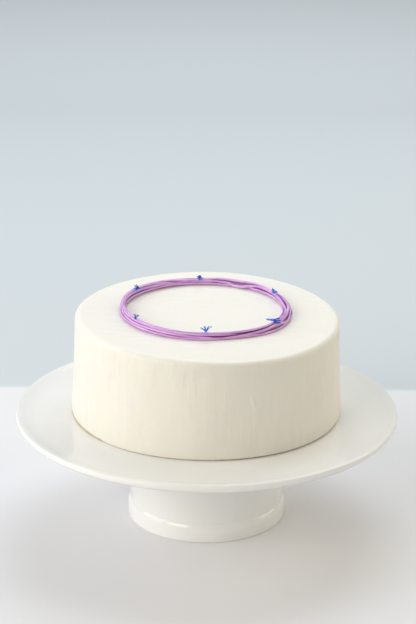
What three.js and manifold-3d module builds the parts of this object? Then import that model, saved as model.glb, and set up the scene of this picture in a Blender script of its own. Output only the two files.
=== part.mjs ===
// Ube shortcake on a footed cake stand: a cream-coated round cake on a thin card, with a wound
// ring of lilac ube cream on top and six small cornflower florets set around that ring.
// Millimetres, +Z up, the origin at the middle of the foot on the table. -Y is the front.
import * as THREE from "three";
import { mergeVertices } from "three/addons/utils/BufferGeometryUtils.js";
import Module from "manifold-3d";

// Stand: a twelve-inch porcelain plate fired in one piece with a hollow drum foot
const STAND_SEGMENTS = 72;
const PLATE_RADIUS = 152.5;
const PLATE_TOP = 88;
const LIP_RISE = 1.2;
const LIP_WIDTH = 8;
const PLATE_EDGE_DEPTH = 6.2;
const PLATE_THICKNESS = 7.5;
const FOOT_RADIUS = 63.4;
const FOOT_BEND_RADIUS = 61.2;
const FOOT_BEND_HEIGHT = 16.4;
const WAIST_RADIUS = 57.5;
const WAIST_HEIGHT = 56;
const WALL = 5;

// Card under the cake, and the cake itself
const CAKE_SET_BACK = 3.5;
const CARD_THICKNESS = 1.5;
const CARD_RADIUS = 106.8;
const CAKE_SEGMENTS = 80;
const CAKE_BASE_RADIUS = 107.4;
const CAKE_BASE_SHIFT = -1.1;
const CAKE_TOP_RADIUS = 104.6;
const CAKE_HEIGHT = 77.3;
const CAKE_EDGE_ROUND = 4;
const CAKE_BASE = PLATE_TOP + CARD_THICKNESS;
const TOP_SLOPE_X = -0.0205;
const TOP_SLOPE_Y = 0.014;

// Piped ring: strings of cream wound into a low heap, a little behind the cake's middle
const RING_CENTRE_X = -1.9;
const RING_CENTRE_Y = 7.5;
const RING_RADIUS = 64.3;
const STRING_WIDTH = 2.1;
const STRING_SIDES = 6;
const STRING_STEP = 7;
const CORE_DEPTH = 1.2;
const CORE_SIDES = 8;
const CORE_STEPS = 60;

// The heap around the ring, as rows of [degrees, shift of its middle line, width, height]
const HEAP_SECTION = [
  [0, 0, 8.2, 5.9], [14, 0, 7.4, 5.5], [28, 0.2, 6.2, 5.2], [48, 0.5, 6.6, 6.2], [64, -0.1, 7.2, 6.1],
  [80, 0.3, 6.9, 6.1], [95, 0.1, 6.6, 5.4], [118, 0.5, 6.8, 6.5], [145, 0.5, 6.9, 7],
  [175, -0.1, 5.8, 6.4], [205, -0.4, 7.8, 6.5], [230, -0.2, 7.9, 6.3], [262, 0.2, 7.7, 5.6],
  [292, -0.4, 7.1, 5.6], [325, 0.2, 9.3, 6.1], [342, -0.3, 10, 6.2], [352, -0.6, 9.3, 6.1],
];

// The strings, as keys of [degrees around the ring, degrees around the heap's section from its
// outer foot over its top to its inner foot, fatness, lift above the heap's skin]
const LONG_STRING = [
  [114, 140, 0.8, -0.6], [124, 125, 1, 0], [136, 110, 1, 0], [152, 100, 1.2, 0.2], [165, 95, 1.4, 0.5],
  [180, 100, 1.4, 0.5], [192, 100, 1.2, 0.3], [203, 98, 1, 0], [214, 85, 1, 0], [231, 90, 1, 0],
  [250, 85, 1, 0], [270, 80, 1, 0], [290, 72, 1, 0.2], [309, 78, 1.1, 0.2], [329, 98, 1, 0],
  [340, 120, 1, 0], [350, 155, 1, 0], [357, 170, 1, 0], [376, 165, 1, 0], [390, 157, 1, 0],
  [411, 162, 1, 0], [419, 158, 0.9, -0.8], [427, 158, 0.9, -0.6], [435, 168, 1, 0], [455, 160, 1, 0],
  [502, 160, 1, 0], [524, 156, 1, 0], [537, 146, 1, -0.3], [550, 120, 0.8, -1],
];
const LOOPED_STRING = [
  [322, 60, 0.8, -1], [333, 87, 1, 0], [350, 93, 1, 0], [362, 130, 1, 0], [374, 140, 1.1, 0.3],
  [392, 126, 1, 0.2], [408, 128, 1, 0], [415, 145, 1.1, 0.4], [420, 162, 1.3, 0.8], [424, 172, 1.3, 0.8],
  [428, 166, 1.2, 0.6], [432, 150, 1, 0.2], [438, 144, 1, 0], [455, 134, 1, 0], [466, 135, 1, -0.3],
  [480, 120, 0.8, -1],
];
const OUTER_STRING = [
  [372, 15, 0.8, -0.5], [384, 60, 1, 0], [395, 98, 1, 0], [411, 95, 1.1, 0], [424, 108, 1.1, 0],
  [440, 106, 1.1, 0], [455, 118, 1, 0], [467, 120, 1, 0], [480, 102, 1, 0], [500, 96, 1, 0],
  [521, 80, 1, 0], [537, 70, 1, 0], [547, 48, 1, 0], [556, 20, 1.1, 0], [592, 18, 1.1, 0],
  [611, 12, 1, 0], [632, 8, 1, 0], [649, 18, 1, 0], [665, 33, 1, 0], [675, 40, 1.1, 0.2],
  [682, 50, 1.1, 0.4], [689, 47, 1, 0.2], [700, 28, 1, 0], [715, 12, 1, 0], [735, 12, 1, 0],
  [748, 30, 0.8, -0.5],
];
const MIDDLE_STRING = [
  [462, 150, 0.8, -0.5], [481, 144, 1, 0], [500, 136, 1, 0], [532, 122, 1, 0], [542, 104, 1, -0.2],
  [550, 74, 1, 0], [558, 46, 1, 0], [574, 38, 1, 0], [592, 42, 1, 0], [611, 36, 1, 0],
  [630, 26, 1, -0.2], [649, 10, 1, 0], [690, 12, 1, 0], [702, 30, 1, 0], [716, 48, 1.1, 0],
  [735, 48, 0.9, -0.3], [748, 70, 0.8, -0.8],
];
const TOP_STRING = [
  [532, 60, 0.8, -0.8], [551, 86, 1, -0.3], [560, 72, 1, 0], [575, 64, 1, 0], [592, 66, 1, 0],
  [611, 60, 1, 0], [635, 52, 1, -0.1], [649, 50, 1, -0.5], [665, 52, 0.9, -1.2], [683, 66, 0.9, -1.2],
  [695, 65, 1, -0.4], [711, 76, 1.1, 0], [730, 84, 1, 0], [745, 95, 0.8, -0.8],
];

// Florets: narrow tubes that open into pointed lobes
const LOBES = 7;
const LOBE_SKIN = 0.4;

// Gap between pieces that lie on a curved face
const CLEARANCE = 0.3;

const rad = THREE.MathUtils.degToRad;
const degreesOf = THREE.MathUtils.radToDeg;
const wasm = await Module();
wasm.setup();

// A closed geometry as a solid that can be joined and cut
function solidOf(geometry, tolerance = 1e-4) {
  const bare = geometry.clone();
  bare.deleteAttribute("normal");
  bare.deleteAttribute("uv");
  const merged = mergeVertices(bare, tolerance);
  const vertProperties = new Float32Array(merged.attributes.position.array);
  const triVerts = new Uint32Array(merged.index.array);
  return new wasm.Manifold(new wasm.Mesh({ numProp: 3, vertProperties, triVerts }));
}

// A solid back as a geometry
function geometryOf(solid) {
  const mesh = solid.getMesh();
  const geometry = new THREE.BufferGeometry();
  geometry.setAttribute("position", new THREE.BufferAttribute(new Float32Array(mesh.vertProperties), 3));
  geometry.setIndex(new THREE.BufferAttribute(new Uint32Array(mesh.triVerts), 1));
  geometry.computeVertexNormals();
  return geometry;
}

// A profile of [radius, height] points turned about the vertical axis
function turned(profile, segments) {
  const points = profile.map(([radius, height]) => new THREE.Vector2(radius, height));
  return new THREE.LatheGeometry(points, segments).rotateX(Math.PI / 2);
}

function named(name, geometry, material) {
  const mesh = new THREE.Mesh(geometry, material);
  mesh.name = name;
  return mesh;
}

// Moves every vertex of a geometry by a function of its position
function displaced(geometry, move) {
  const position = geometry.attributes.position;
  const point = new THREE.Vector3();
  for (let i = 0; i < position.count; i++) {
    point.fromBufferAttribute(position, i);
    move(point);
    position.setXYZ(i, point.x, point.y, point.z);
  }
  geometry.computeVertexNormals();
  return geometry;
}

// Stand profile: the plate's top and rolled lip, its edge, the underside, the drum, the hollow
function standProfile() {
  const lipTop = PLATE_TOP + LIP_RISE;
  const edgeLow = lipTop - PLATE_EDGE_DEPTH;
  const under = PLATE_TOP - PLATE_THICKNESS;
  const hollowTop = under + 0.5;
  const inner = WAIST_RADIUS - WALL;
  return [
    [0, hollowTop],
    [inner - 5, hollowTop],
    [inner - 0.6, hollowTop - 4],
    [inner, WAIST_HEIGHT],
    [FOOT_BEND_RADIUS - WALL, FOOT_BEND_HEIGHT],
    [FOOT_RADIUS - WALL - 0.9, 0],
    [FOOT_RADIUS - 1, 0],
    [FOOT_RADIUS, 1],
    [FOOT_RADIUS - 0.1, 7],
    [FOOT_BEND_RADIUS + 0.5, FOOT_BEND_HEIGHT - 2],
    [FOOT_BEND_RADIUS - 0.1, FOOT_BEND_HEIGHT + 1],
    [FOOT_BEND_RADIUS - 1.6, 28],
    [WAIST_RADIUS + 0.5, 42],
    [WAIST_RADIUS, WAIST_HEIGHT],
    [WAIST_RADIUS + 0.4, 70],
    [WAIST_RADIUS + 2, 77],
    [WAIST_RADIUS + 6, under],
    [PLATE_RADIUS - 5, edgeLow - 0.8],
    [PLATE_RADIUS - 1.4, edgeLow],
    [PLATE_RADIUS - 0.3, edgeLow + 1.8],
    [PLATE_RADIUS, lipTop - 2.4],
    [PLATE_RADIUS - 0.4, lipTop - 0.7],
    [PLATE_RADIUS - 1.8, lipTop],
    [PLATE_RADIUS - 3.6, lipTop - 0.4],
    [PLATE_RADIUS - LIP_WIDTH, PLATE_TOP],
    [0, PLATE_TOP],
  ];
}

// Height of the cake's top: it slopes down to the right and to the front, with a soft swell
function topHeight(x, y) {
  const angle = Math.atan2(y, x);
  const reach = (x * x + y * y) / (CAKE_TOP_RADIUS * CAKE_TOP_RADIUS);
  const swell = 0.9 * Math.cos(2 * (angle - rad(62))) + 0.3 * Math.cos(4 * (angle - rad(4)));
  return CAKE_BASE + CAKE_HEIGHT + TOP_SLOPE_X * x + TOP_SLOPE_Y * y + swell * reach;
}

// How far the spread cream stands out of true at an angle and a height from 0 to 1
function sideWander(angle, level) {
  const waves = 0.45 * Math.sin(3 * angle) + 0.3 * Math.sin(5 * angle + 2 * level);
  const strokes = 0.2 * Math.sin(11 * angle) * Math.sin(Math.PI * level);
  const right = Math.max(0, Math.cos(angle));
  const pinch = -0.9 * right * right * Math.exp(-(((level - 0.76) / 0.13) ** 2));
  const frontRight = Math.max(0, Math.cos(angle + rad(42)));
  const bulge = 2.4 * frontRight ** 4 * (1 - level) ** 2;
  return waves + strokes + pinch + bulge;
}

// Cake: a flat base, a side that leans in towards the top, a rounded edge and an uneven top
function cakeGeometry() {
  const round = CAKE_EDGE_ROUND;
  const levels = [0.02, 0.12, 0.26, 0.4, 0.54, 0.66, 0.76, 0.86];
  const profile = [[0, 0], [CAKE_BASE_RADIUS - 1, 0]];
  for (const level of levels) {
    profile.push([THREE.MathUtils.lerp(CAKE_BASE_RADIUS, CAKE_TOP_RADIUS, level), level * CAKE_HEIGHT]);
  }
  for (let k = 0; k <= 4; k++) {
    const turn = (k / 4) * (Math.PI / 2);
    profile.push([
      CAKE_TOP_RADIUS - round + round * Math.cos(turn),
      CAKE_HEIGHT - round + round * Math.sin(turn),
    ]);
  }
  for (const reach of [0.82, 0.7, 0.6, 0.5, 0]) {
    profile.push([CAKE_TOP_RADIUS * reach, CAKE_HEIGHT]);
  }
  return displaced(turned(profile, CAKE_SEGMENTS), (point) => {
    const level = point.z / CAKE_HEIGHT;
    const radius = Math.hypot(point.x, point.y);
    const angle = Math.atan2(point.y, point.x);
    const outer = THREE.MathUtils.smoothstep(radius, 0.7 * CAKE_TOP_RADIUS, CAKE_TOP_RADIUS);
    const scale = radius > 0 ? 1 + (sideWander(angle, level) * outer) / radius : 1;
    point.x = point.x * scale + CAKE_BASE_SHIFT * (1 - level);
    point.y *= scale;
    point.z = CAKE_BASE + level * (topHeight(point.x, point.y) - CAKE_BASE);
  });
}

// Radius of the ring's middle line, which the hand laid a little out of round
function ringRadius(angle) {
  const drift = 0.9 * Math.cos(angle - rad(96)) + 1.7 * Math.cos(2 * (angle - rad(19.5)));
  return RING_RADIUS + drift + 0.5 * Math.cos(4 * (angle + rad(30)));
}

// Shift of the heap's middle line, its width and its height at an angle in degrees around the ring
function heapSection(degrees) {
  const angle = THREE.MathUtils.euclideanModulo(degrees, 360);
  const last = HEAP_SECTION.findLast((row) => row[0] <= angle);
  const next = HEAP_SECTION.find((row) => row[0] > angle) ?? [360, ...HEAP_SECTION[0].slice(1)];
  const share = (angle - last[0]) / (next[0] - last[0]);
  return [1, 2, 3].map((column) => THREE.MathUtils.lerp(last[column], next[column], share));
}

// A point in the heap, inset under its skin, by the angles around the ring and around its section
function heapPlace(degrees, turn, inset, low) {
  const [shift, width, height] = heapSection(degrees);
  const angle = rad(degrees);
  const radius = ringRadius(angle) + shift + (width / 2 - inset) * Math.cos(rad(turn));
  const rise = Math.max(low, (height - inset) * Math.sin(rad(turn)));
  const x = RING_CENTRE_X + radius * Math.cos(angle);
  const y = RING_CENTRE_Y + radius * Math.sin(angle);
  return new THREE.Vector3(x, y, topHeight(x, y) + rise);
}

// A smooth curve's value between b and c, with the keys a and d beyond them
function between(t, a, b, c, d) {
  const start = (c - a) / 2;
  const end = (d - b) / 2;
  return b + t * (start + t * (3 * (c - b) - 2 * start - end + t * (2 * (b - c) + start + end)));
}

// A string's stations: smooth values through its keys, about STRING_STEP degrees apart
function stationsThrough(keys) {
  const beyond = (here, there) => here.map((value, k) => 2 * value - there[k]);
  const padded = [beyond(keys[0], keys[1]), ...keys, beyond(keys.at(-1), keys.at(-2))];
  const stations = [];
  for (let k = 1; k < keys.length; k++) {
    const [a, b, c, d] = padded.slice(k - 1, k + 3);
    const count = Math.max(2, Math.round((c[0] - b[0]) / STRING_STEP));
    for (let j = 0; j < count; j++) {
      stations.push(b.map((_, i) => between(j / count, a[i], b[i], c[i], d[i])));
    }
  }
  return [...stations, keys.at(-1)];
}

// One stretch of string: a cylinder whose rows are laid on the stations of its path
function stringGeometry(keys) {
  const stations = stationsThrough(keys);
  const steps = stations.length - 1;
  return displaced(new THREE.CylinderGeometry(1, 1, 1, STRING_SIDES, steps), (point) => {
    const [degrees, turn, fat, lift] = stations[Math.round((point.y + 0.5) * steps)];
    const half = (STRING_WIDTH / 2) * fat;
    const middle = heapPlace(degrees, turn, half - lift, CLEARANCE + half);
    const x = middle.x + half * point.x * Math.cos(rad(degrees));
    const y = middle.y + half * point.x * Math.sin(rad(degrees));
    point.set(x, y, middle.z + half * point.z);
  });
}

// The filling under the strings: any torus, laid into the heap by its own two angles
function coreGeometry() {
  const middle = 2;
  return displaced(new THREE.TorusGeometry(middle, 1, CORE_SIDES, CORE_STEPS), (point) => {
    const around = Math.atan2(point.y, point.x);
    const turn = Math.atan2(point.z, Math.hypot(point.x, point.y) - middle);
    point.copy(heapPlace(degreesOf(around), degreesOf(turn), CORE_DEPTH, CLEARANCE));
  });
}

// Ring: the turns of string, pressed together over their core
function ringGeometry() {
  let ring = solidOf(coreGeometry());
  for (const keys of [LONG_STRING, LOOPED_STRING, OUTER_STRING, MIDDLE_STRING, TOP_STRING]) {
    ring = ring.add(solidOf(stringGeometry(keys)));
  }
  const bodies = solidOf(geometryOf(ring), 1e-3).decompose();
  bodies.sort((a, b) => b.volume() - a.volume());
  return geometryOf(bodies[0]);
}

// Floret: a tube from its tail at the origin up +Z, opening into a star of thin pointed lobes
function floretGeometry([tube, throat, lobe, spread]) {
  const mouth = tube + 1.2;
  const profile = [
    [0, 0], [0.35, 0], [0.45, 0.35 * tube], [throat, tube], [throat * 1.7, mouth], [throat * 1.7, mouth],
    [throat * 1.7 - LOBE_SKIN, mouth + 0.2], [throat - LOBE_SKIN, tube + 0.5], [0, tube + 0.4],
  ];
  const rows = profile.length;
  const star = new THREE.LatheGeometry(profile.map((pair) => new THREE.Vector2(...pair)), 2 * LOBES);
  const position = star.attributes.position;
  for (let column = 0; column <= 2 * LOBES; column++) {
    const side = column % (2 * LOBES);
    const tip = side % 2 === 0 ? 1 - 0.25 * Math.abs(Math.sin(side * 1.7)) : 0;
    const angle = (column / (2 * LOBES)) * 2 * Math.PI;
    for (const [row, skin] of [[5, 0], [6, LOBE_SKIN]]) {
      const radius = throat * 1.7 + (tip ? tip * lobe * Math.sin(spread) : 0.5) - skin * Math.cos(spread);
      const height = mouth + (tip ? tip * lobe * Math.cos(spread) : 0.5) + skin * Math.sin(spread);
      position.setXYZ(column * rows + row, radius * Math.sin(angle), height, radius * Math.cos(angle));
    }
  }
  return star.rotateX(Math.PI / 2);
}

// Where each floret's tail lies: an angle around the ring's centre, the distance from it and the
// height above the cake's top, the way it points (right, back, up), and its sizes: the tube's
// length, the throat's radius, the lobes' length and how far they spread, in radians
const FLORETS = [
  { angle: 94.3, radius: 63.6, above: 7.2, aim: [-0.05, -0.95, -0.2], sizes: [1.5, 0.7, 2.1, 1.05] },
  { angle: 148.9, radius: 60.9, above: 6.6, aim: [-0.67, -0.59, 0.35], sizes: [2.8, 0.8, 2.4, 0.85] },
  { angle: 215.4, radius: 66.6, above: 6, aim: [0.3, 0.1, 0.95], sizes: [0.8, 0.5, 2.8, 0.75] },
  { angle: 270.8, radius: 62.5, above: 5.9, aim: [-0.1, 0.1, 0.95], sizes: [0.9, 1, 4, 1.15] },
  { angle: 326.9, radius: 56.4, above: 6.4, aim: [0.86, -0.4, 0.05], sizes: [7.8, 0.9, 3.2, 0.45] },
  { angle: 29.3, radius: 61.6, above: 5.7, aim: [0.5, 0.2, 0.6], sizes: [0.9, 0.9, 2.4, 0.8] },
];

function placeFloret(mesh, { angle, radius, above, aim }) {
  const x = RING_CENTRE_X + radius * Math.cos(rad(angle));
  const y = RING_CENTRE_Y + radius * Math.sin(rad(angle));
  mesh.position.set(x, y, topHeight(x, y) + above);
  mesh.quaternion.setFromUnitVectors(new THREE.Vector3(0, 0, 1), new THREE.Vector3(...aim).normalize());
}

const porcelain = new THREE.MeshStandardMaterial({ color: 0xeeeeea, roughness: 0.25, metalness: 0 });
const cardboard = new THREE.MeshStandardMaterial({ color: 0xc8b58c, roughness: 0.6, metalness: 0 });
const cream = new THREE.MeshStandardMaterial({ color: 0xf5f2e4, roughness: 0.6, metalness: 0 });
const ubeCream = new THREE.MeshStandardMaterial({ color: 0xcf97d3, roughness: 0.4, metalness: 0 });
const petal = new THREE.MeshStandardMaterial({ color: 0x3560dc, roughness: 0.5, metalness: 0 });

const cardProfile = [[0, PLATE_TOP], [CARD_RADIUS, PLATE_TOP], [CARD_RADIUS, CAKE_BASE], [0, CAKE_BASE]];

const cake = new THREE.Group();
cake.position.y = CAKE_SET_BACK;
cake.add(named("cake_card", turned(cardProfile, STAND_SEGMENTS).translate(CAKE_BASE_SHIFT, 0, 0), cardboard));
cake.add(named("cream_cake", cakeGeometry(), cream));
cake.add(named("piped_ring", ringGeometry(), ubeCream));
FLORETS.forEach((floret, index) => {
  const mesh = named(`cornflower_floret_${index + 1}`, floretGeometry(floret.sizes), petal);
  placeFloret(mesh, floret);
  cake.add(mesh);
});

const shortcake = new THREE.Group();
shortcake.add(named("cake_stand", turned(standProfile(), STAND_SEGMENTS), porcelain));
shortcake.add(cake);

export default shortcake;
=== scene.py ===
# %% [markdown]
# Ube shortcake on a cake stand. A white porcelain stand carries a round cake in a coat of whipped
# cream. Strings of lilac ube cream are wound into a ring on its top, and six small blue
# cornflower florets are set around that ring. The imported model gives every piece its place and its
# size, and this lesson gives each one the finish that a baker and a potter would give it.

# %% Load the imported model
import math

import bpy
import numpy as np
from mathutils import Matrix, Vector, noise


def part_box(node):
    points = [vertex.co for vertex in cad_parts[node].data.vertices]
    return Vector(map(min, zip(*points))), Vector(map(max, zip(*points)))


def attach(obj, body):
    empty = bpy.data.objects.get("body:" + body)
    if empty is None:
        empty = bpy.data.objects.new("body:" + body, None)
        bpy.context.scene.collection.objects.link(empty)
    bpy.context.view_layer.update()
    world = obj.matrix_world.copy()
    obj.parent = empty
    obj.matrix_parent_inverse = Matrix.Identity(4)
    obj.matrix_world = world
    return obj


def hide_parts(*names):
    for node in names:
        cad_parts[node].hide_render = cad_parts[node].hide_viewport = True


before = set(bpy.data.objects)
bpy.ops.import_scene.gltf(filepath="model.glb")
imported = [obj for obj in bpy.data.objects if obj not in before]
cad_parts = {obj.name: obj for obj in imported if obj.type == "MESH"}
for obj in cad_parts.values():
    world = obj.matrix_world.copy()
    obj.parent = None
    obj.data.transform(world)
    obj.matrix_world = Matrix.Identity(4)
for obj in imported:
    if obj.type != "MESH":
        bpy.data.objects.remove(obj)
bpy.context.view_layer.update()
MM = 0.001
rad = math.radians
print("nodes", sorted(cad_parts))

# %% [markdown]
# The camera comes first, because every later choice is judged through it. The photograph was
# taken with a long lens from a little above the cake, so the two sides of the plate look almost
# parallel. A camera fitted to the plate's rim, the foot and the cake's edges gives the distance,
# the height angle and a very small roll, and those are the values here.

# %% Camera
PHOTO_HEIGHT_PX = 624
FOCAL_PX = 2024.7
SENSOR = 36
CAMERA_DISTANCE = 1592.5 * MM
CAMERA_ELEVATION = rad(19.5)
CAMERA_ROLL = rad(0.48)
LOOK_AT = Vector((0.3, 0, 170.2)) * MM


def add_camera():
    """Stands the camera in front of the cake, looking down at it, and rolls it a little."""
    away = Vector((0, -math.cos(CAMERA_ELEVATION), math.sin(CAMERA_ELEVATION)))
    right = Vector((1, 0, 0))
    up = away.cross(right)
    right, up = (
        right * math.cos(CAMERA_ROLL) + up * math.sin(CAMERA_ROLL),
        up * math.cos(CAMERA_ROLL) - right * math.sin(CAMERA_ROLL),
    )
    bpy.ops.object.camera_add()
    camera = bpy.context.object
    camera.name = "photo_camera"
    turn = Matrix((right, up, away)).transposed().to_4x4()
    camera.matrix_world = Matrix.Translation(LOOK_AT + away * CAMERA_DISTANCE) @ turn
    camera.data.sensor_width = SENSOR
    camera.data.lens = FOCAL_PX * SENSOR / PHOTO_HEIGHT_PX
    camera.data.clip_end = 100
    return camera


bpy.context.scene.camera = add_camera()
bpy.context.scene.view_settings.view_transform = "Standard"
print("lens", round(bpy.context.scene.camera.data.lens, 1), "mm")

# %% [markdown]
# A few helpers serve every piece. A turned thing, such as a plate or a cake, is easiest to draw as
# half of its outline: one vertex is extruded from corner to corner, sharp corners are bevelled into
# arcs, and the outline is spun about the upright axis, as clay is turned on a wheel. Adding and
# scaling primitives would give the same form with far more guesswork at the joins.


# %% Helpers for drawing and spinning an outline
ARC_SEGMENTS = 6
SAME_PLACE = 0.01 * MM
SEAM = 0.002 * MM


def deselect_all():
    """Nothing stays selected, so the next operator acts on the new piece alone."""
    bpy.ops.object.select_all(action="DESELECT")


def pick(piece, wanted, kind="VERT"):
    """Goes to edit mode with only the vertices or edges selected for which wanted() is true."""
    bpy.ops.object.mode_set(mode="EDIT")
    bpy.ops.mesh.select_mode(type=kind)
    bpy.ops.mesh.select_all(action="DESELECT")
    bpy.ops.object.mode_set(mode="OBJECT")
    places = [vertex.co for vertex in piece.data.vertices]
    if kind == "VERT":
        for vertex in piece.data.vertices:
            vertex.select = bool(wanted(vertex.co))
    else:
        for edge in piece.data.edges:
            edge.select = bool(wanted(*[places[index] for index in edge.vertices]))
    bpy.ops.object.mode_set(mode="EDIT")


def draw_outline(name, corners):
    """Draws a chain of edges through corners, given as (radius, height, bevel) in millimetres."""
    deselect_all()
    bpy.ops.mesh.primitive_plane_add(size=MM)
    piece = bpy.context.object
    piece.name = name
    places = [Vector((radius, 0, height)) * MM for radius, height, _ in corners]
    bpy.ops.object.mode_set(mode="EDIT")
    bpy.ops.mesh.select_mode(type="VERT")
    bpy.ops.mesh.merge(type="CENTER")
    bpy.ops.transform.translate(value=places[0])
    for here, there in zip(places, places[1:]):
        bpy.ops.mesh.extrude_vertices_move(TRANSFORM_OT_translate={"value": there - here})
    bpy.ops.object.mode_set(mode="OBJECT")
    for place, (_, _, bevel) in zip(places, corners):
        if bevel:
            pick(piece, lambda co, place=place: (co - place).length < SAME_PLACE)
            bpy.ops.mesh.bevel(offset=bevel * MM, segments=ARC_SEGMENTS, affect="VERTICES")
            bpy.ops.object.mode_set(mode="OBJECT")
    return piece


def spin_outline(piece, steps):
    """Spins the outline once around, joins its seam and its poles, and turns its faces outwards."""
    bpy.ops.object.mode_set(mode="EDIT")
    bpy.ops.mesh.select_all(action="SELECT")
    bpy.ops.mesh.spin(steps=steps, angle=2 * math.pi, center=(0, 0, 0), axis=(0, 0, 1))
    bpy.ops.mesh.select_all(action="SELECT")
    bpy.ops.mesh.remove_doubles(threshold=SEAM)
    bpy.ops.mesh.normals_make_consistent(inside=False)
    bpy.ops.object.mode_set(mode="OBJECT")
    bpy.ops.object.shade_smooth_by_angle(angle=rad(50))
    return piece


def reshape(piece, rule):
    """Moves every vertex at once: rule gets three arrays in millimetres and returns three."""
    count = len(piece.data.vertices)
    places = np.empty(3 * count)
    piece.data.vertices.foreach_get("co", places)
    x, y, z = places.reshape(count, 3).T / MM
    moved = np.stack(rule(x, y, z), axis=1) * MM
    piece.data.vertices.foreach_set("co", moved.ravel())
    piece.data.update()


def settle(piece, node):
    """Hands a finished piece to the frame: hides the imported part it stands for and hangs the piece on the
    root body.
    """
    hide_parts(node)
    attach(piece, "root")
    print(piece.name, len(piece.data.polygons), "faces")


# %% [markdown]
# Every material starts from the same bare Principled shader. A number that is the same all over
# is set on the shader's own socket. What varies over the surface is wired in by short chains of
# nodes that read the piece's own Object coordinates, so a pattern stays put when the piece is
# seen from another side or exported.


# %% Helpers for materials
def new_material(name, roughness, **sockets):
    """A material with one Principled shader, and the shader's even values set on its sockets."""
    material = bpy.data.materials.new(name)
    material.use_nodes = True
    shader = material.node_tree.nodes["Principled BSDF"]
    shader.inputs["Roughness"].default_value = roughness
    for socket, value in sockets.items():
        shader.inputs[socket.replace("_", " ")].default_value = value
    return material, shader


def add_node(material, kind, links=(), **values):
    """Adds a node, sets its sockets or properties, and wires (output, input name) pairs to it."""
    node = material.node_tree.nodes.new(kind)
    for name, value in values.items():
        if name in node.inputs:
            node.inputs[name].default_value = value
        else:
            setattr(node, name, value)
    for output, name in links:
        material.node_tree.links.new(output, node.inputs[name])
    return node


def wire(material, output, socket):
    """Joins a node's output to a socket."""
    material.node_tree.links.new(output, socket)


def object_place(material, scale=(1, 1, 1)):
    """The piece's own coordinates, stretched along each axis: a small scale gives long marks."""
    source = add_node(material, "ShaderNodeTexCoord")
    stretch = add_node(material, "ShaderNodeMapping", [(source.outputs["Object"], "Vector")])
    stretch.inputs["Scale"].default_value = scale
    return stretch.outputs["Vector"]


def cloud(material, place, scale, detail=3, roughness=0.55):
    """Soft random values from 0 to 1."""
    node = add_node(material, "ShaderNodeTexNoise", [(place, "Vector")], Scale=scale, Detail=detail)
    node.inputs["Roughness"].default_value = roughness
    return node.outputs["Fac"]


def ramp(material, value, stops):
    """Turns a value into a colour through stops of (position, colour)."""
    node = add_node(material, "ShaderNodeValToRGB", [(value, "Fac")])
    while len(node.color_ramp.elements) < len(stops):
        node.color_ramp.elements.new(0.5)
    for element, (position, colour) in zip(node.color_ramp.elements, stops):
        element.position = position
        element.color = (*colour, 1)
    return node.outputs["Color"]


def rescale(material, value, low, high, to_low, to_high):
    """Moves a value from one range to another."""
    node = add_node(material, "ShaderNodeMapRange", [(value, "Value")])
    for name, number in zip(("From Min", "From Max", "To Min", "To Max"), (low, high, to_low, to_high)):
        node.inputs[name].default_value = number
    return node.outputs["Result"]


def blend(material, share, first, second):
    """Mixes two outputs, or an output and a plain colour, by a share from 0 to 1."""
    node = add_node(material, "ShaderNodeMix", [(share, "Factor")], data_type="RGBA", clamp_factor=True)
    first_colour, second_colour, mixed_colour = node.inputs[6], node.inputs[7], node.outputs[2]
    for source, socket in ((first, first_colour), (second, second_colour)):
        if isinstance(source, tuple):
            socket.default_value = source
        else:
            wire(material, source, socket)
    return mixed_colour


def bumps(material, shader, layers):
    """Stacks bump layers, each (height value, depth in millimetres), on the shader's normal."""
    below = None
    for height, depth in layers:
        links = [(height, "Height")] + ([(below, "Normal")] if below else [])
        node = add_node(material, "ShaderNodeBump", links, Strength=1.0, Distance=depth * MM)
        below = node.outputs["Normal"]
    wire(material, below, shader.inputs["Normal"])


# %% [markdown]
# The stand is one piece of slip-cast porcelain: a flat plate with a low rolled lip, on a hollow
# drum that flares to a low ledge above its foot. The outline runs from the middle of the hollow,
# down the inside of the drum, round the foot ring, up the outside, along the underside and over the
# lip. A highlight along a glazed lip shows every flat spot, so the corners get arcs and the spin
# has many steps.

# %% Porcelain stand
stand_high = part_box("cake_stand")[1]
card_low, card_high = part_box("cake_card")
PLATE_RADIUS = stand_high.x / MM
PLATE_TOP = card_low.z / MM
LIP_TOP = stand_high.z / MM
UNDERSIDE = PLATE_TOP - 7.5
WAIST = 57.5
WALL = 5
STAND_STEPS = 160

stand_outline = [
    (0, UNDERSIDE + 0.5, 0),
    (WAIST - WALL - 0.3, UNDERSIDE + 0.5, 4),
    (WAIST - WALL, 56, 8),
    (56.2, 16.4, 5),
    (57.5, 0, 1),
    (63.3, 0, 1),
    (63.4, 9, 2),
    (62.7, 13, 2.6),
    (61.4, 14.6, 1.6),
    (WAIST, 52, 12),
    (WAIST, 73, 4),
    (WAIST + 5, UNDERSIDE, 4),
    (PLATE_RADIUS - 4.5, LIP_TOP - 7, 2),
    (PLATE_RADIUS - 1.3, LIP_TOP - 5.6, 1.5),
    (PLATE_RADIUS, LIP_TOP - 2.2, 1.5),
    (PLATE_RADIUS - 0.8, LIP_TOP, 0.9),
    (PLATE_RADIUS - 4, LIP_TOP, 1.5),
    (PLATE_RADIUS - 11, PLATE_TOP, 4),
    (0, PLATE_TOP, 0),
]
stand = spin_outline(draw_outline("porcelain_stand", stand_outline), STAND_STEPS)
print("plate", round(2 * PLATE_RADIUS), "mm across and", round(LIP_TOP), "mm up")


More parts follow.
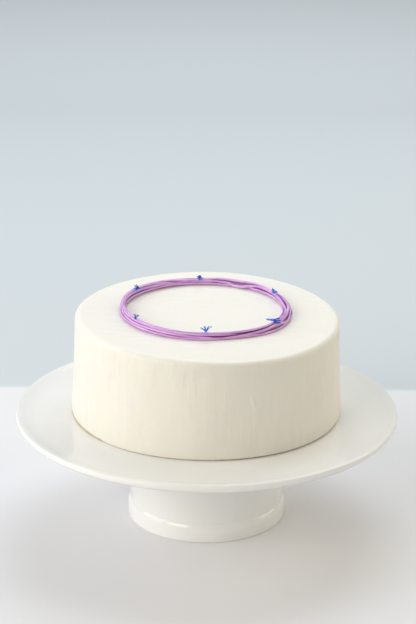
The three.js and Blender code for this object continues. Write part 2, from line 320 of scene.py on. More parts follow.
# %% Glazed porcelain
def glazed_porcelain():
    """White glaze: a little uneven, with soft ripples that bend its highlights."""
    material, shader = new_material("glazed_porcelain", 0.16, IOR=1.5)
    place = object_place(material)
    tint = ramp(
        material,
        cloud(material, place, 9),
        [(0.35, (0.85, 0.845, 0.835)), (0.65, (0.88, 0.875, 0.865))],
    )
    wire(material, tint, shader.inputs["Base Color"])
    gloss = rescale(material, cloud(material, place, 40), 0.3, 0.7, 0.04, 0.09)
    wire(material, gloss, shader.inputs["Roughness"])
    bumps(material, shader, [(cloud(material, place, 12, 1), 0.5), (cloud(material, place, 160, 2), 0.02)])
    return material


stand.data.materials.append(glazed_porcelain())
settle(stand, "cake_stand")

# %% [markdown]
# Under the cake lies a thin board of tan card. Only its edge shows, as a line round the cake's
# foot. It is a low cylinder whose rims are bevelled, as a pressed board's edge is.


# %% Cake card
CARD_SIDES = 192
CARD_BEVEL = 0.25


def cake_card():
    """A thin disc, bevelled at both rims."""
    deselect_all()
    size = card_high - card_low
    bpy.ops.mesh.primitive_cylinder_add(
        vertices=CARD_SIDES, radius=size.x / 2, depth=size.z, location=(card_low + card_high) / 2
    )
    piece = bpy.context.object
    piece.name = "tan_cake_card"
    bpy.ops.object.transform_apply(location=True, rotation=True, scale=True)
    pick(piece, lambda a, b: abs(a.z - b.z) < 0.1 * MM, "EDGE")
    bpy.ops.mesh.bevel(offset=CARD_BEVEL * MM, segments=2)
    bpy.ops.object.mode_set(mode="OBJECT")
    bpy.ops.object.shade_smooth_by_angle(angle=rad(40))
    return piece


def tan_board():
    """Unbleached board: matt, with fine pale and dark fibres along its edge."""
    material, shader = new_material("tan_board", 0.75)
    fibres = cloud(material, object_place(material, (1, 1, 5)), 260, 3)
    tint = ramp(material, fibres, [(0.35, (0.47, 0.38, 0.24)), (0.65, (0.62, 0.53, 0.36))])
    wire(material, tint, shader.inputs["Base Color"])
    bumps(material, shader, [(fibres, 0.05)])
    return material


card = cake_card()
card.data.materials.append(tan_board())
settle(card, "cake_card")

# %% [markdown]
# The cake is coated with cream and smoothed with a long spatula. Its side leans in a little
# towards the top, the edge is softly rounded, and the top falls to the right and to the front.
# The outline is drawn and spun like the stand's, but first its long edges are subdivided, so that
# the spread cream has enough faces to carry real relief: the upright strokes on the side, a nick
# that the spatula left, and the fine sweeps across the top. At its foot the cream hangs down over
# the card's edge, and least at the front right.

# %% The cake's form
CAKE_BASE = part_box("cream_cake")[0].z / MM
CAKE_SET_BACK = 3.5
CAKE_BASE_RADIUS = 107.4
CAKE_BASE_SHIFT = -1.1
CAKE_TOP_RADIUS = 104.6
CAKE_HEIGHT = 77.3
EDGE_ROUND = 4
TOP_SLOPE_X = -0.0205
TOP_SLOPE_Y = 0.014
NICK_ANGLE = rad(-70.5)
NICK_HEIGHT = 44.5
NICK_DEPTH = 0.9
NICK_LENGTH = 4.5
SKIRT = 0.15
SKIRT_BEHIND = 1.7
SKIRT_MOST = 1.4
CAKE_STEPS = 640
SIDE_CUTS = 52
TOP_CUTS = 58
print("cake", 2 * CAKE_TOP_RADIUS, "mm across its top and", CAKE_HEIGHT, "mm tall")


def top_height(x, y):
    """Height of the cake's top in millimetres, x and y counted from the cake's own middle."""
    angle = np.arctan2(y, x)
    reach = (x * x + y * y) / CAKE_TOP_RADIUS**2
    swell = 0.9 * np.cos(2 * (angle - rad(62))) + 0.3 * np.cos(4 * (angle - rad(4)))
    return CAKE_BASE + CAKE_HEIGHT + TOP_SLOPE_X * x + TOP_SLOPE_Y * y + swell * reach


def side_wander(angle, level):
    """How far the spread cream stands out of true at an angle and a height from 0 to 1."""
    waves = 0.45 * np.sin(3 * angle) + 0.3 * np.sin(5 * angle + 2 * level)
    strokes = 0.2 * np.sin(11 * angle) * np.sin(np.pi * level)
    right = np.maximum(0, np.cos(angle))
    pinch = -0.9 * right**2 * np.exp(-(((level - 0.76) / 0.13) ** 2))
    front_right = np.maximum(0, np.cos(angle + rad(42)))
    bulge = 2.4 * front_right**4 * (1 - level) ** 2
    return waves + strokes + pinch + bulge


def noise_field(points, size):
    """Soft random values from -1 to 1 at each point, with lumps about size millimetres wide."""
    return np.array([noise.noise(Vector(point) / size) for point in points])


def spatula_strokes(angle, level):
    """Relief of the side in millimetres: upright strokes of uneven width, broken into patches."""
    circle = np.stack([np.cos(angle), np.sin(angle)]) * CAKE_TOP_RADIUS
    tall = level * CAKE_HEIGHT
    broad = noise_field(np.stack([circle[0], circle[1], tall * 0.25], axis=1), 9)
    narrow = noise_field(np.stack([circle[0], circle[1], tall * 0.15 + 40], axis=1), 3.2)
    patch = np.clip(0.5 + 1.5 * noise_field(np.stack([circle[0], circle[1], tall + 90], axis=1), 30), 0.15, 1)
    fade = np.sin(np.pi * np.clip(level, 0, 1)) ** 0.4
    arc = (angle - NICK_ANGLE) * CAKE_TOP_RADIUS + (tall - NICK_HEIGHT) * 0.25
    nick = NICK_DEPTH * np.exp(-(arc**2) - ((tall - NICK_HEIGHT) / NICK_LENGTH) ** 2)
    return (0.22 * broad + 0.17 * narrow * patch) * fade + nick


def top_sweeps(x, y):
    """Relief of the top in millimetres: long shallow sweeps from side to side."""
    broad = noise_field(np.stack([x * 0.2, y, 0 * x + 7], axis=1), 7)
    narrow = noise_field(np.stack([x * 0.12, y, 0 * x + 31], axis=1), 3)
    return 0.14 * broad + 0.1 * narrow


def skirt(angle, level):
    """How far the cream hangs down over the card's edge, in millimetres."""
    hang = SKIRT + SKIRT_BEHIND * (1 + np.cos(angle - rad(140))) / 2
    return np.minimum(hang, SKIRT_MOST) * np.clip(1 - level / 0.05, 0, 1)


def cake_rule(x, y, z):
    """Gives the spun cake the same lean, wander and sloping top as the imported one, and relief."""
    level = z / CAKE_HEIGHT
    radius = np.hypot(x, y)
    angle = np.arctan2(y, x)
    outer = np.clip((radius / CAKE_TOP_RADIUS - 0.7) / 0.3, 0, 1)
    outer = outer * outer * (3 - 2 * outer)
    lift = side_wander(angle, level) * outer
    on_side = (level > 0.01) & (radius > CAKE_TOP_RADIUS - EDGE_ROUND)
    lift = lift + np.where(on_side, spatula_strokes(angle, level), 0)
    scale = 1 + lift / np.maximum(radius, 1)
    x = x * scale + CAKE_BASE_SHIFT * (1 - level)
    y = y * scale
    z = CAKE_BASE + level * (top_height(x, y) - CAKE_BASE)
    on_top = np.clip((level - 0.97) / 0.03, 0, 1) * np.clip((CAKE_TOP_RADIUS - radius) / 6, 0, 1)
    z = z + on_top * top_sweeps(x, y) - skirt(angle, level) * (radius > CAKE_BASE_RADIUS - 1)
    return x, y + CAKE_SET_BACK, z


# %% Cream cake
def mark_top(piece):
    """Keeps how much every vertex faces up, so that the finish can turn its lines and paint shade on the side
    below the top.
    """
    normals = np.empty(3 * len(piece.data.vertices))
    piece.data.vertices.foreach_get("normal", normals)
    upward = np.clip(normals.reshape(-1, 3)[:, 2] / 0.8 - 0.2, 0, 1)
    facing = piece.data.attributes.new("facing_up", "FLOAT", "POINT")
    facing.data.foreach_set("value", upward)


def cream_cake():
    """The coated cake: outline, finer edges where relief goes, spin, then the cream's relief."""
    corners = [
        (0, CAKE_HEIGHT, 0),
        (CAKE_TOP_RADIUS, CAKE_HEIGHT, EDGE_ROUND),
        (CAKE_BASE_RADIUS - 0.4, 0, 0.3),
        (0, 0, 0),
    ]
    piece = draw_outline("cream_coated_cake", corners)
    half = CAKE_HEIGHT / 2 * MM
    pick(piece, lambda a, b: (a.z - half) * (b.z - half) < 0, "EDGE")
    bpy.ops.mesh.subdivide(number_cuts=SIDE_CUTS)
    bpy.ops.object.mode_set(mode="OBJECT")
    pick(piece, lambda a, b: min(a.z, b.z) > CAKE_HEIGHT * 0.999 * MM and min(a.x, b.x) < MM, "EDGE")
    bpy.ops.mesh.subdivide(number_cuts=TOP_CUTS)
    bpy.ops.object.mode_set(mode="OBJECT")
    spin_outline(piece, CAKE_STEPS)
    reshape(piece, cake_rule)
    mark_top(piece)
    return piece


cake = cream_cake()


# %% Whipped cream
def whipped_cream():
    """Soft matt cream with fine pores: spatula lines up its side and across its top, faint stains, and the
    side painted darker than the top as painted shade.
    """
    material, shader = new_material(
        "whipped_cream", 0.55, Subsurface_Weight=0.35, Subsurface_Radius=(0.010, 0.007, 0.004)
    )
    shader.inputs["Subsurface Scale"].default_value = 0.4
    place = object_place(material)
    upward = add_node(material, "ShaderNodeAttribute", attribute_name="facing_up").outputs["Fac"]
    up_side = cloud(material, object_place(material, (1, 1, 0.15)), 300, 4)
    across_top = cloud(material, object_place(material, (0.12, 1, 1)), 420, 4)
    patch = rescale(material, cloud(material, place, 24, 2), 0.42, 0.62, 0.15, 1)
    plain = (0.5, 0.5, 0.5, 1)
    lines = blend(material, patch, plain, blend(material, upward, up_side, across_top))
    # The side's tint is darker than the top's: painted shade on the upright side of the same cream.
    top_tint = ramp(material, lines, [(0.35, (0.85, 0.825, 0.765)), (0.65, (0.89, 0.865, 0.81))])
    shaded_side_tint = ramp(material, lines, [(0.3, (0.805, 0.775, 0.70)), (0.7, (0.85, 0.82, 0.75))])
    parts = add_node(material, "ShaderNodeSeparateXYZ", [(place, "Vector")])
    low_down = rescale(material, parts.outputs["Z"], 0.125, 0.14, 0.1, 0)
    to_the_right = rescale(material, parts.outputs["X"], -0.045, -0.02, 0, 0.3)
    stain = add_node(material, "ShaderNodeMath", [(cloud(material, place, 26, 3), 0), (low_down, 1)])
    mauve = rescale(material, stain.outputs["Value"], 0.62, 0.8, 0, 1)
    share = add_node(material, "ShaderNodeMath", [(mauve, 0), (to_the_right, 1)], operation="MULTIPLY")
    stained = blend(material, share.outputs["Value"], shaded_side_tint, (0.74, 0.69, 0.70, 1))
    wire(material, blend(material, upward, stained, top_tint), shader.inputs["Base Color"])
    bumps(material, shader, [(lines, 0.4), (cloud(material, place, 900, 3), 0.06)])
    return material


cake.data.materials.append(whipped_cream())
settle(cake, "cream_cake")

# %% [markdown]
# The ring is made of strings of ube cream, squeezed from a small ridged nozzle while the cake
# turned, so they lie on each other as a low heap. In Blender a squeezed string is a curve with the
# nozzle's mouth as its bevel. The heap's section changes slowly around the ring, so each of its
# rows gives an angle, how far the heap is shifted outwards there, its width and its height.

# %% Ring measures
RING_CENTRE = (-1.9, 7.5)
RING_RADIUS = 64.3
STRING_WIDTH = 1.9
RIDGES = 5
RIDGE_DEPTH = 0.1
DEGREES_PER_STEP = 1.5
CLEARANCE = 0.05
CORE_DEPTH = 1.1
CORE_STEPS = 240
CORE_SIDES = 24
TORUS_RADIUS = 2
FOOT_REACH = 1.05
SWAY = 0.1
SWELL = 0.1
TWIST = 0.5
STREAK_LENGTH = 14
HEAP_SECTION = [
    (0, 0, 8.2, 5.9), (14, 0, 7.4, 5.5), (28, 0.2, 6.2, 5.2), (48, 0.5, 6.6, 6.2), (64, -0.1, 7.2, 6.1),
    (80, 0.3, 6.9, 6.1), (95, 0.1, 6.6, 5.4), (118, 0.5, 6.8, 6.5), (145, 0.5, 6.9, 7),
    (175, -0.1, 5.8, 6.4), (205, -0.4, 7.8, 6.5), (230, -0.2, 7.9, 6.3), (262, 0.2, 7.7, 5.6),
    (292, -0.4, 7.1, 5.6), (325, 0.2, 9.3, 6.1), (342, -0.3, 10, 6.2), (352, -0.6, 9.3, 6.1),
]
print("ring", 2 * RING_RADIUS, "mm across its middle line")

# %% [markdown]
# Each string is given by a few keys: the angle around the ring, the turn around the heap's section
# (0 at the outer foot, 90 on top, 180 at the inner foot), how fat it is, and how far it is lifted.
# A smooth curve through the keys then gives the path. A screw or array modifier would be too even.

# %% Strings that show from the front
LONG_STRING = [
    (114, 140, 0.8, -0.6), (124, 125, 1, 0), (136, 110, 1, 0), (152, 100, 1.2, 0.2), (165, 95, 1.4, 0.5),
    (180, 100, 1.4, 0.5), (192, 100, 1.2, 0.3), (203, 98, 1, 0), (214, 85, 1, 0), (231, 90, 1, 0),
    (250, 85, 1, 0), (270, 80, 1, 0), (290, 72, 1, 0.2), (309, 78, 1.1, 0.2), (329, 98, 1, 0),
    (340, 120, 1, 0), (350, 155, 1, 0), (357, 170, 1, 0), (376, 165, 1, 0), (390, 157, 1, 0),
    (411, 162, 1, 0), (419, 158, 0.9, -0.8), (427, 158, 0.9, -0.6), (435, 168, 1, 0), (455, 160, 1, 0),
    (502, 160, 1, 0), (524, 156, 1, 0), (537, 146, 1, -0.3), (550, 120, 0.8, -1),
]
LOOPED_STRING = [
    (322, 60, 0.8, -1), (333, 87, 1, 0), (350, 93, 1, 0), (362, 130, 1, 0), (374, 140, 1.1, 0.3),
    (392, 126, 1, 0.2), (408, 128, 1, 0), (415, 145, 1.1, 0.4), (420, 162, 1.3, 0.8), (424, 172, 1.3, 0.8),
    (428, 166, 1.2, 0.6), (432, 150, 1, 0.2), (438, 144, 1, 0), (455, 134, 1, 0), (466, 135, 1, -0.3),
    (480, 120, 0.8, -1),
]
OUTER_STRING = [
    (372, 15, 0.8, -0.5), (384, 60, 1, 0), (395, 98, 1, 0), (411, 95, 1.1, 0), (424, 108, 1.1, 0),
    (440, 106, 1.1, 0), (455, 118, 1, 0), (467, 120, 1, 0), (480, 102, 1, 0), (500, 96, 1, 0),
    (521, 80, 1, 0), (537, 70, 1, 0), (547, 48, 1, 0), (556, 20, 1.1, 0), (592, 18, 1.1, 0),
    (611, 12, 1, 0), (632, 8, 1, 0), (649, 18, 1, 0), (665, 33, 1, 0), (675, 40, 1.1, 0.2),
    (682, 50, 1.1, 0.4), (689, 47, 1, 0.2), (700, 28, 1, 0), (715, 12, 1, 0), (735, 12, 1, 0),
    (748, 30, 0.8, -0.5),
]
MIDDLE_STRING = [
    (462, 150, 0.8, -0.5), (481, 144, 1, 0), (500, 136, 1, 0), (532, 122, 1, 0), (542, 104, 1, -0.2),
    (550, 74, 1, 0), (558, 46, 1, 0), (574, 38, 1, 0), (592, 42, 1, 0), (611, 36, 1, 0),
    (630, 26, 1, -0.2), (649, 10, 1, 0), (690, 12, 1, 0), (702, 30, 1, 0), (716, 48, 1.1, 0),
    (735, 48, 0.9, -0.3), (748, 70, 0.8, -0.8),
]
TOP_STRING = [
    (532, 60, 0.8, -0.8), (551, 86, 1, -0.3), (560, 72, 1, 0), (575, 64, 1, 0), (592, 66, 1, 0),
    (611, 60, 1, 0), (635, 52, 1, -0.1), (649, 50, 1, -0.5), (665, 52, 0.9, -1.2), (683, 66, 0.9, -1.2),
    (695, 65, 1, -0.4), (711, 76, 1.1, 0), (730, 84, 1, 0), (745, 95, 0.8, -0.8),
]
SHOWN_STRINGS = [LONG_STRING, LOOPED_STRING, OUTER_STRING, MIDDLE_STRING, TOP_STRING]

# %% [markdown]
# The heap's outer wall at the back and its inner wall at the front show only from behind. Shorter
# strings cover the filling there, three on each wall, laid like the ones in front.

# %% Strings that show from behind
BACK_STRINGS = [
    [(8, 8, 0.8, -0.8), (24, 16, 1.1, -0.2), (60, 12, 1.1, 0), (110, 16, 1.2, 0), (160, 10, 1.1, 0),
     (186, 6, 0.8, -0.8)],
    [(14, 30, 0.8, -0.9), (34, 40, 1.1, -0.2), (72, 34, 1.1, 0), (104, 42, 1.2, 0), (140, 38, 1.2, 0),
     (166, 44, 1.1, -0.1), (182, 36, 0.8, -0.9)],
    [(26, 52, 0.8, -0.9), (48, 60, 1, -0.3), (90, 62, 1.1, -0.2), (120, 60, 1.1, -0.2),
     (150, 64, 1, -0.3), (170, 60, 0.8, -0.9)],
]
FRONT_STRINGS = [
    [(176, 172, 0.8, -0.8), (196, 166, 1.1, -0.1), (240, 170, 1.2, 0), (290, 164, 1.1, 0),
     (322, 170, 1.1, -0.1), (344, 172, 0.8, -0.9)],
    [(182, 150, 0.8, -0.9), (204, 142, 1.1, -0.2), (250, 146, 1.2, 0), (286, 138, 1.2, 0),
     (316, 144, 1, -0.2), (334, 150, 0.8, -0.9)],
    [(200, 120, 0.8, -0.9), (222, 118, 1, -0.4), (262, 116, 1.1, -0.3), (300, 112, 1, -0.4),
     (318, 118, 0.8, -0.9)],
]
print("strings", len(SHOWN_STRINGS), "that show and", len(BACK_STRINGS + FRONT_STRINGS), "behind")


# %% The ring's heap
def ring_radius(angle):
    """Radius of the ring's middle line, which the hand laid a little out of round."""
    drift = 0.9 * np.cos(angle - rad(96)) + 1.7 * np.cos(2 * (angle - rad(19.5)))
    return RING_RADIUS + drift + 0.5 * np.cos(4 * (angle + rad(30)))


def heap_section(degrees):
    """The heap's shift, width and height at an angle around the ring."""
    table = np.array(HEAP_SECTION)
    return [np.interp(degrees, table[:, 0], table[:, k], period=360) for k in (1, 2, 3)]


def heap_place(degrees, turn, inset, low):
    """A point in the heap, inset under its skin, by the angles around the ring and its section."""
    shift, width, height = heap_section(degrees)
    angle = np.radians(degrees)
    radius = ring_radius(angle) + shift + (width / 2 - inset) * np.cos(np.radians(turn))
    rise = np.maximum(low, (height - inset) * np.sin(np.radians(turn)))
    x = RING_CENTRE[0] + radius * np.cos(angle)
    y = RING_CENTRE[1] + radius * np.sin(angle)
    return x, y + CAKE_SET_BACK, top_height(x, y) + rise


def core_rule(x, y, z):
    """Lays a torus into the heap by its own two angles, as the filling under the strings."""
    around = np.arctan2(y, x)
    turn = np.arctan2(z, np.hypot(x, y) - TORUS_RADIUS)
    return heap_place(np.degrees(around), np.degrees(turn), CORE_DEPTH, CLEARANCE)


# %% Helpers for the string
def smooth_track(keys, step):
    """Catmull-Rom values through keys, close enough that each step turns by step degrees."""
    keys = np.array(keys, float)
    padded = np.vstack([2 * keys[0] - keys[1], keys, 2 * keys[-1] - keys[-2]])
    rows = []
    for k in range(len(keys) - 1):
        a, b, c, d = padded[k : k + 4]
        count = max(2, int(abs(c[0] - b[0]) / step))
        for t in np.arange(count) / count:
            bend = 2 * a - 5 * b + 4 * c - d
            twist = 3 * b - a - 3 * c + d
            rows.append(b + t * (c - a + t * (bend + t * twist)) / 2)
    rows.append(keys[-1])
    return rows


def nozzle_rule(x, y, z):
    """Ridges around the mouth, and the string's width."""
    angle = np.arctan2(y, x)
    scale = (1 + RIDGE_DEPTH * np.cos(RIDGES * angle)) * STRING_WIDTH / 2 * MM
    return x * scale, y * scale, z


def nozzle_mouth():
    """The string's section: a circle with shallow ridges, as a curve."""
    deselect_all()
    bpy.ops.mesh.primitive_circle_add(vertices=RIDGES * 6, radius=1, fill_type="NOTHING")
    mouth = bpy.context.object
    mouth.name = "ridged_mouth"
    reshape(mouth, nozzle_rule)
    bpy.ops.object.convert(target="CURVE")
    return mouth


def squeeze_string(name, keys, mouth, seed):
    """One stretch of string: a curve along the keys with the nozzle's mouth as its bevel."""
    deselect_all()
    bpy.ops.curve.primitive_nurbs_path_add()
    string = bpy.context.object
    string.name = name
    curve = string.data
    curve.splines.clear()
    track = smooth_track(keys, DEGREES_PER_STEP)
    spline = curve.splines.new("POLY")
    spline.points.add(len(track) - 1)
    for point, (degrees, turn, fat, lift) in zip(spline.points, track):
        along = rad(degrees) * RING_RADIUS
        sway = noise.noise((along / 9, seed, 0)) * SWAY
        swell = 1 + SWELL * noise.noise((along / 6, seed, 9))
        half = STRING_WIDTH / 2 * fat * swell
        place = heap_place(degrees, turn, half - lift + sway, CLEARANCE + half)
        point.co = (*Vector(place) * MM, 1)
        point.radius = fat * swell
        point.tilt = TWIST * noise.noise((along / 40, seed, 13))
    curve.twist_mode = "Z_UP"
    curve.bevel_mode = "OBJECT"
    curve.bevel_object = mouth
    curve.use_fill_caps = True
    bpy.ops.object.convert(target="MESH")
    string = bpy.context.object
    mark_string(string, len(track), seed)
    return string


def mark_string(string, stations, seed):
    """Keeps every vertex's place on the string: where around it and how far along it lies."""
    count = len(string.data.vertices)
    around = count // stations
    step = np.arange(count)
    turn = 2 * np.pi * (step % around) / around
    along = (step // around) * rad(DEGREES_PER_STEP) * RING_RADIUS
    place = np.stack([np.cos(turn), np.sin(turn), along / STREAK_LENGTH + seed], axis=1)
    streaks = string.data.attributes.new("string_place", "FLOAT_VECTOR", "POINT")
    streaks.data.foreach_set("vector", place.ravel())


def mark_depth(ring):
    """Keeps how far out every vertex lies in the heap: 1 on its skin, and less in the grooves, but held up
    near the foot; the cream paints shade by it.
    """
    places = np.empty(3 * len(ring.data.vertices))
    ring.data.vertices.foreach_get("co", places)
    x, y, z = places.reshape(-1, 3).T / MM
    y = y - CAKE_SET_BACK
    angle = np.arctan2(y - RING_CENTRE[1], x - RING_CENTRE[0])
    shift, width, height = heap_section(np.degrees(angle))
    outside = np.hypot(x - RING_CENTRE[0], y - RING_CENTRE[1]) - ring_radius(angle) - shift
    rise = z - top_height(x, y)
    # Near the foot the painted groove shade is held back, so the strings' undersides stay light.
    reach = np.maximum(np.hypot(outside / (width / 2), rise / height), FOOT_REACH - rise / 3)
    depth = ring.data.attributes.new("heap_reach", "FLOAT", "POINT")
    depth.data.foreach_set("value", reach)
    print("heap reach, middle value", round(float(np.median(reach)), 2))


# %% Piped ring
def piped_ring():
    """All the strings over a plain core that fills the heap, joined into one piece."""
    mouth = nozzle_mouth()
    paths = SHOWN_STRINGS + BACK_STRINGS + FRONT_STRINGS
    strings = [squeeze_string(f"string_{k}", keys, mouth, seed=3.7 * k) for k, keys in enumerate(paths)]
    deselect_all()
    bpy.ops.mesh.primitive_torus_add(
        major_segments=CORE_STEPS, minor_segments=CORE_SIDES,
        major_radius=TORUS_RADIUS * MM, minor_radius=MM,
    )
    reshape(bpy.context.object, core_rule)
    for string in strings:
        string.select_set(True)
    bpy.context.view_layer.objects.active = strings[0]
    bpy.ops.object.join()
    ring = bpy.context.object
    ring.name = "ube_cream_ring"
    bpy.data.objects.remove(mouth)
    bpy.ops.object.mode_set(mode="EDIT")
    bpy.ops.mesh.select_all(action="SELECT")
    bpy.ops.mesh.remove_doubles(threshold=0.001 * MM)
    bpy.ops.mesh.normals_make_consistent(inside=False)
    bpy.ops.object.mode_set(mode="OBJECT")
    bpy.ops.object.shade_smooth_by_angle(angle=rad(60))
    mark_depth(ring)
    return ring


ring = piped_ring()


# %% Ube cream
def ube_cream():
    """Lilac cream with a soft shine: streaks along the string, painted shade in the grooves between and
    painted light on the crests.
    """
    material, shader = new_material(
        "ube_cream", 0.3, Subsurface_Weight=0.2, Subsurface_Radius=(0.002, 0.001, 0.002)
    )
    shader.inputs["Subsurface Scale"].default_value = 0.25
    place = object_place(material)
    string_place = add_node(material, "ShaderNodeAttribute", attribute_name="string_place").outputs["Vector"]
    reach = add_node(material, "ShaderNodeAttribute", attribute_name="heap_reach").outputs["Fac"]
    streak = cloud(material, string_place, 1.6, 3)
    # Painted shade and light: the deeper a point lies in the heap, the darker its lilac, and the outer skin
    # is painted lighter.
    groove_shade = rescale(material, reach, 0.76, 0.96, -0.62, 0.14)
    light = add_node(material, "ShaderNodeMath", [(streak, 0), (groove_shade, 1)])
    tint = ramp(
        material,
        light.outputs["Value"],
        [(0.15, (0.21, 0.05, 0.22)), (0.4, (0.52, 0.21, 0.57)), (0.75, (0.77, 0.50, 0.87))],
    )
    wire(material, tint, shader.inputs["Base Color"])
    bumps(material, shader, [(cloud(material, place, 700, 2), 0.05)])
    return material


ring.data.materials.append(ube_cream())
settle(ring, "piped_ring")

# %% [markdown]
# A cornflower's floret is a narrow tube that opens into pointed lobes. Each one here starts as a
# small circle at the tail, is extruded up into the tube, and then every lobe is drawn out of the
# mouth in three steps, which widen it, carry it out and narrow it to a point. Solidify gives the
# petals their thickness and a subdivision surface rounds them.
#
# Each row gives where the tail lies (an angle around the ring's centre, the distance from it and
# the height above the cake's top), the way the floret points, and its sizes: the tube's length, the
# throat's radius, the lobes' length and how far they spread, in radians. Each step of a lobe gives
# its share of the length, its share of the spread and how much it grows.

# %% Florets
FLORETS = [
    (94.3, 63.6, 7.2, (-0.05, -0.95, -0.2), 1.5, 0.7, 2.1, 1.05),
    (148.9, 60.9, 6.6, (-0.67, -0.59, 0.35), 2.8, 0.8, 2.4, 0.85),
    (215.4, 66.6, 6, (0.3, 0.1, 0.95), 0.8, 0.5, 2.8, 0.75),
    (270.8, 62.5, 5.9, (-0.1, 0.1, 0.95), 0.9, 1, 4, 1.15),
    (326.9, 56.4, 6.4, (0.86, -0.4, 0.05), 7.8, 0.9, 3.2, 0.45),
    (29.3, 61.6, 5.7, (0.5, 0.2, 0.6), 0.9, 0.9, 2.4, 0.8),
]
LOBES = 7
LOBE_STEPS = [(0.35, 0.8, 2.0), (0.4, 1.0, 1.1), (0.25, 1.2, 0.12)]
TAIL_RADIUS = 0.35
MOUTH_FLARE = 1.7
MOUTH_DEPTH = 1.2
PETAL_THICKNESS = 0.5


def floret_place(degrees, radius, above):
    """A point in metres by its angle and distance from the ring's centre and its height."""
    x = RING_CENTRE[0] + radius * math.cos(rad(degrees))
    y = RING_CENTRE[1] + radius * math.sin(rad(degrees))
    return Vector((x, y + CAKE_SET_BACK, top_height(x, y) + above)) * MM


def extrude_ring(up, grow):
    """Extrudes the selected ring upwards and scales it about its own middle."""
    bpy.ops.mesh.extrude_edges_move(TRANSFORM_OT_translate={"value": (0, 0, up * MM)})
    bpy.ops.transform.resize(value=(grow, grow, 1))


def draw_lobe(piece, turn, mouth, lobe, spread):
    """Draws one pointed lobe out of the mouth, at an angle around it."""
    height = mouth[1] * MM
    half = math.pi / LOBES * 1.05

    def at_root(co):
        gap = (math.atan2(co.y, co.x) - turn + math.pi) % (2 * math.pi) - math.pi
        return abs(gap) < half and abs(co.z - height) < 0.01 * MM and co.xy.length > 0.7 * mouth[0] * MM

    pick(piece, lambda a, b: at_root(a) and at_root(b), "EDGE")
    for share, lean, grow in LOBE_STEPS:
        angle = spread * lean
        out = math.sin(angle) * lobe * share * MM
        up = math.cos(angle) * lobe * share * MM
        value = (out * math.cos(turn), out * math.sin(turn), up)
        bpy.ops.mesh.extrude_edges_move(TRANSFORM_OT_translate={"value": value})
        bpy.ops.transform.resize(value=(grow, grow, grow))
    bpy.ops.object.mode_set(mode="OBJECT")


def floret(name, angle, radius, above, aim, tube, throat, lobe, spread):
    """One floret, modelled upright with its tail at the origin and then laid in its place."""
    deselect_all()
    bpy.ops.mesh.primitive_circle_add(vertices=2 * LOBES, radius=TAIL_RADIUS * MM, fill_type="NGON")
    piece = bpy.context.object
    piece.name = name
    bpy.ops.object.mode_set(mode="EDIT")
    bpy.ops.mesh.select_mode(type="EDGE")
    radii = [TAIL_RADIUS, 0.45, throat, throat * MOUTH_FLARE]
    heights = [0, 0.4 * tube, tube, tube + MOUTH_DEPTH]
    for k in (1, 2, 3):
        extrude_ring(heights[k] - heights[k - 1], radii[k] / radii[k - 1])
    bpy.ops.object.mode_set(mode="OBJECT")
    for k in range(LOBES):
        turn = 2 * math.pi * k / LOBES
        reach = 1 - 0.25 * abs(math.sin(k * 3.4))
        draw_lobe(piece, turn, (radii[3], heights[3]), lobe * reach, spread)
    solid = piece.modifiers.new("petal_thickness", "SOLIDIFY")
    solid.thickness = PETAL_THICKNESS * MM
    solid.offset = 0
    soft = piece.modifiers.new("soft_petals", "SUBSURF")
    soft.levels = soft.render_levels = 2
    bpy.ops.object.modifier_apply(modifier=solid.name)
    bpy.ops.object.modifier_apply(modifier=soft.name)
    turn = Vector((0, 0, 1)).rotation_difference(Vector(aim)).to_matrix().to_4x4()
    piece.matrix_world = Matrix.Translation(floret_place(angle, radius, above)) @ turn
    bpy.ops.object.transform_apply(location=True, rotation=True, scale=True)
    bpy.ops.object.shade_smooth()
    return piece


def cornflower_petal():
    """Clear blue petals, matt, with darker and paler patches."""
    material, shader = new_material("cornflower_petal", 0.5, Specular_IOR_Level=0.25)
    tint = ramp(
        material,
        cloud(material, object_place(material), 350, 2),
        [(0.38, (0.012, 0.045, 0.40)), (0.62, (0.10, 0.27, 0.96))],
    )
    wire(material, tint, shader.inputs["Base Color"])
    return material


petal = cornflower_petal()
for k, measures in enumerate(FLORETS):
    piece = floret(f"blue_floret_{k + 1}", *measures)
    piece.data.materials.append(petal)
    settle(piece, f"cornflower_floret_{k + 1}")
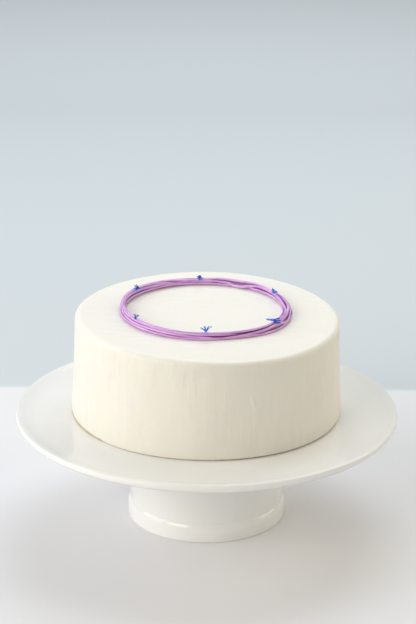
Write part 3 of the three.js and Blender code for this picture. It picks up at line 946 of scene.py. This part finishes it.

# %% [markdown]
# The studio is a pale table with pale blue paper behind it. One wide floor carries both: its
# colour changes where the table ends, and far back the paper turns lighter, which is painted light.
# The light is soft, from five broad panels: cool ones from the left, from behind and from above, and
# warm ones from the front left and the right. Even pale air fills the shadows.


# %% Studio
TABLE_END = 262 * MM
TABLE_COLOUR = (0.778, 0.773, 0.797)
PAPER_COLOUR = (0.59, 0.634, 0.672)
FAR_PAPER_PAINTED_LIGHT = (0.79, 0.85, 0.90)


def studio_floor():
    """A wide flat floor, pale in front and pale blue behind the table's end, painted lighter far back as
    painted light.
    """
    deselect_all()
    bpy.ops.mesh.primitive_plane_add(size=40)
    floor = bpy.context.object
    floor.name = "studio_floor"
    material, shader = new_material("studio_paper", 0.7)
    parts = add_node(material, "ShaderNodeSeparateXYZ", [(object_place(material), "Vector")])
    depth = rescale(material, parts.outputs["Y"], TABLE_END, TABLE_END + 2, 0, 1)
    # Painted light: far back the paper's colour grows lighter with distance.
    stops = [(0, TABLE_COLOUR), (0.004, PAPER_COLOUR), (0.55, PAPER_COLOUR), (0.95, FAR_PAPER_PAINTED_LIGHT)]
    tint = ramp(material, depth, stops)
    wire(material, tint, shader.inputs["Base Color"])
    floor.data.materials.append(material)
    return floor


LIGHTS = {
    "window_left": ((-1.7, -0.2, 0.9), 1.2, (0.85, 0.89, 1), 13.9),
    "window_back": ((-1.3, 1.1, 1.2), 1.2, (0.94, 1, 0.88), 4.5),
    "sky_overhead": ((0.2, 1.3, 1.7), 1.4, (0.85, 0.93, 1), 19.4),
    "warm_front": ((-1.4, -1.6, 1.1), 1.2, (1, 0.93, 0.72), 22),
    "warm_right": ((1.85, 0.4, 0.92), 1.2, (1, 0.88, 0.56), 12.2),
}


def add_light(name, place, size, colour, power):
    """A square area light that faces the cake."""
    bpy.ops.object.light_add(type="AREA", location=place)
    light = bpy.context.object
    light.name = name
    light.data.size = size
    light.data.color = colour
    light.data.energy = power
    light.rotation_euler = (LOOK_AT - Vector(place)).to_track_quat("-Z", "Y").to_euler()


def set_world(colour, strength):
    """Even pale light from all around."""
    world = bpy.data.worlds.new("studio_air")
    world.use_nodes = True
    background = world.node_tree.nodes["Background"]
    background.inputs["Color"].default_value = (*colour, 1)
    background.inputs["Strength"].default_value = strength
    bpy.context.scene.world = world


studio_floor()
for name, values in LIGHTS.items():
    add_light(name, *values)
set_world((1, 1, 1), 0.373)
print("lights", list(LIGHTS))
